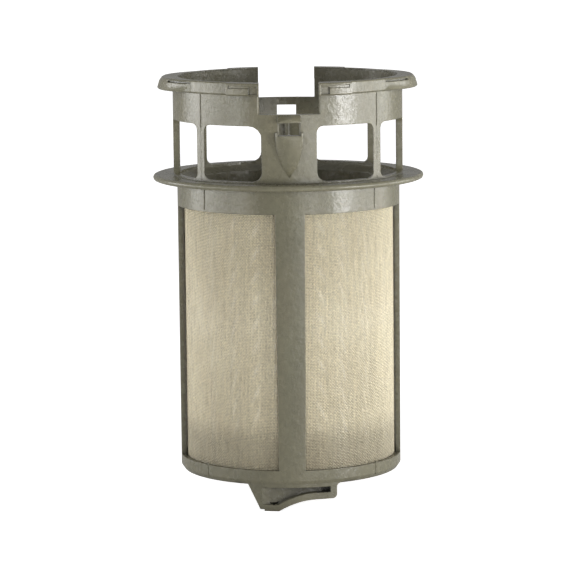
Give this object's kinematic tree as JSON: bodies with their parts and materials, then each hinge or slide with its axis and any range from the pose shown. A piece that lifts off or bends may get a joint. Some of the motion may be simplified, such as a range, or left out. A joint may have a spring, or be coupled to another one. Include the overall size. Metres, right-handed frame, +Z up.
{
  "type": "dishwasher filter",
  "caption": "Cylindrical sump filter: a moulded cage with a woven mesh cup below a round flange, a windowed head with notches, catches and an eared lip above, and bayonet cams at its foot.",
  "frame": {"origin": "on the filter's axis, level with the lowest points of the two bayonet cams", "axes": "+Z up along the axis of the cup, -Y towards the front, X towards the two ears of the lip"},
  "size_m": [0.08, 0.08, 0.1245],
  "materials": {
    "frame": "satin olive-grey moulding",
    "side_mesh": "fine woven cream mesh",
    "floor_mesh": "fine woven cream mesh"
  },
  "bodies": {
    "root": {"frame": "frame", "side_mesh": "side_mesh", "floor_mesh": "floor_mesh"}
  },
  "joints": []
}
